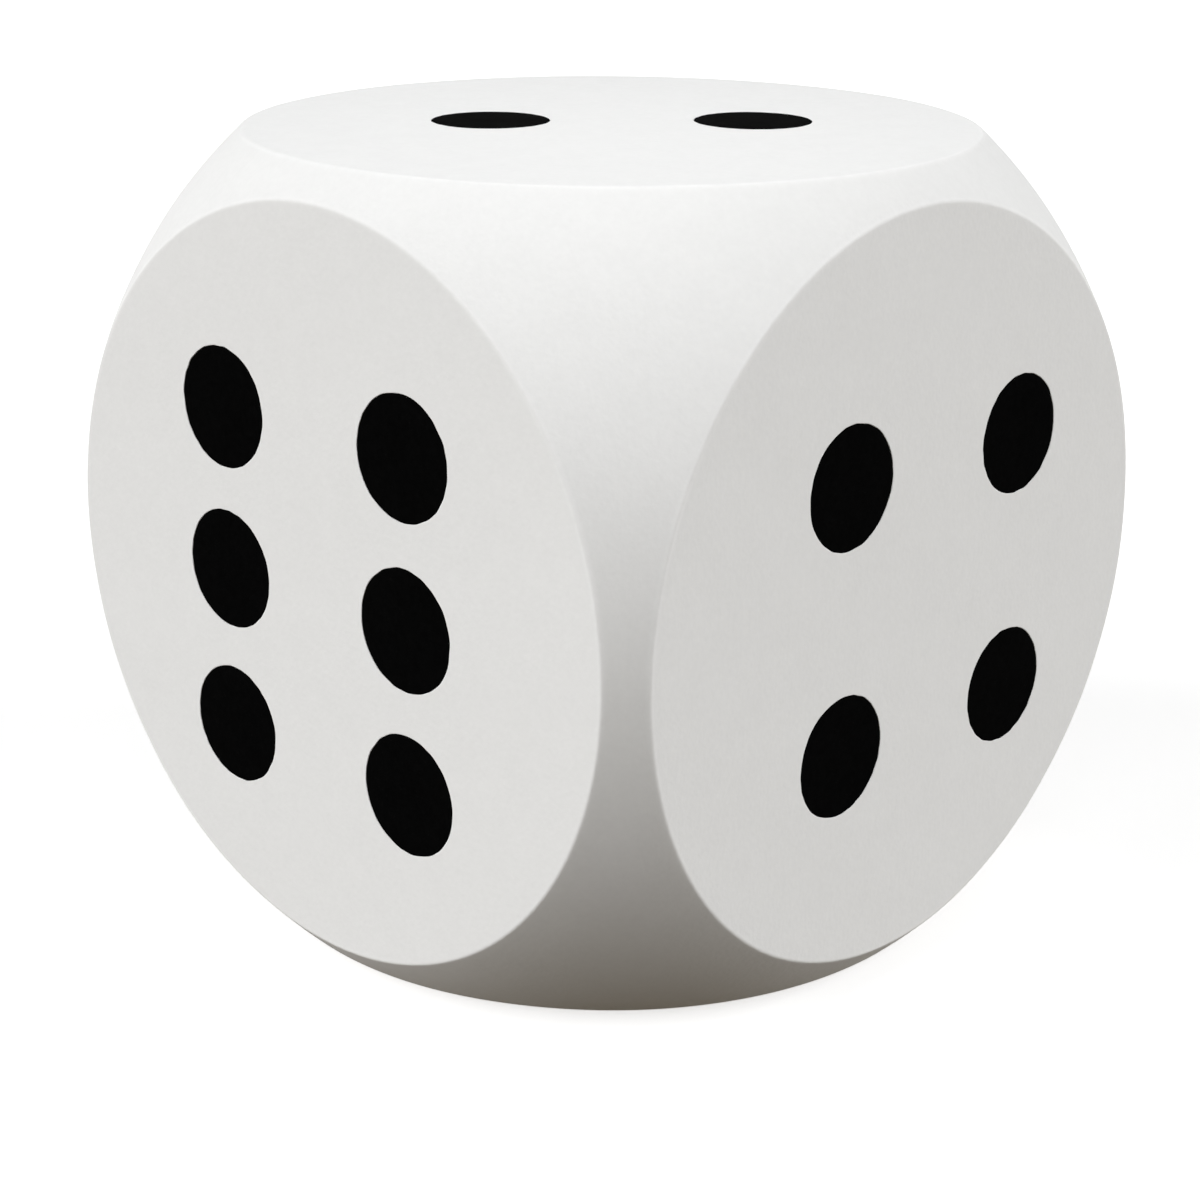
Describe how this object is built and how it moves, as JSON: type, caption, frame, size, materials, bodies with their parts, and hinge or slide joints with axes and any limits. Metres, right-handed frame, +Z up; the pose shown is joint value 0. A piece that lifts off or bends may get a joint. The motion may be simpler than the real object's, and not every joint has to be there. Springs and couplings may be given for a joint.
{
  "type": "giant foam die",
  "caption": "Oversized six-sided play die of white closed-cell foam: a cube turned by a ball so each side is a round flat, with inlaid black foam pips.",
  "frame": {"origin": "middle of the lower round flat, the side with five pips, which the die rests on", "axes": "+Z up to the side with two pips, -Y towards the side with six pips, +X towards the side with four pips"},
  "size_m": [0.2, 0.2, 0.2],
  "materials": {
    "white_foam": "matte",
    "black_foam": "matte"
  },
  "bodies": {
    "root": {"bottom_plank": "white_foam", "lower_middle_plank": "white_foam", "upper_middle_plank": "white_foam", "top_plank": "white_foam", "pip_six_upper_left": "black_foam", "pip_six_upper_right": "black_foam", "pip_six_middle_left": "black_foam", "pip_six_middle_right": "black_foam", "pip_six_lower_left": "black_foam", "pip_six_lower_right": "black_foam", "pip_four_upper_left": "black_foam", "pip_four_upper_right": "black_foam", "pip_four_lower_left": "black_foam", "pip_four_lower_right": "black_foam", "pip_two_near": "black_foam", "pip_two_far": "black_foam", "pip_one_centre": "black_foam", "pip_three_upper": "black_foam", "pip_three_centre": "black_foam", "pip_three_lower": "black_foam", "pip_five_upper_left": "black_foam", "pip_five_upper_right": "black_foam", "pip_five_lower_left": "black_foam", "pip_five_lower_right": "black_foam", "pip_five_centre": "black_foam"}
  },
  "joints": []
}
